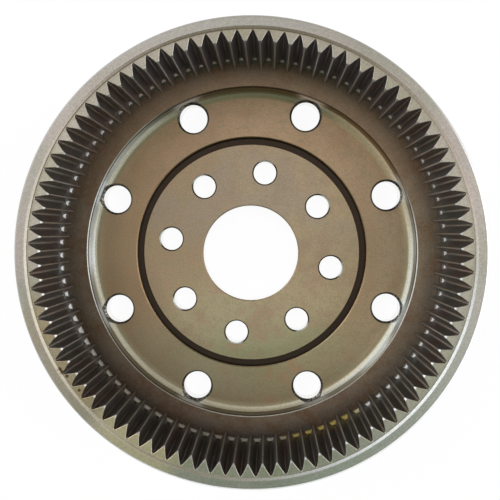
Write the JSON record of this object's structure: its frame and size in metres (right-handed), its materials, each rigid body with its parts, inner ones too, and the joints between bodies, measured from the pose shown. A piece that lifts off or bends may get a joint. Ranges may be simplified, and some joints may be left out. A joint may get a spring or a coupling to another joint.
{
  "type": "internal ring gear with hub plate",
  "caption": "Cup-shaped steel ring gear with straight internal teeth and a dished hub plate with a centre bore and bolt holes.",
  "frame": {"origin": "centre of the flat back face, on the gear axis", "axes": "+Z along the gear axis towards the open, toothed side; +X and +Y as the picture's right and up"},
  "size_m": [0.297, 0.297, 0.073],
  "materials": {
    "steel": "turned and ground forged steel, oiled, browned by heat treatment in the dish"
  },
  "bodies": {
    "root": {"ring_gear": "steel"}
  },
  "joints": []
}
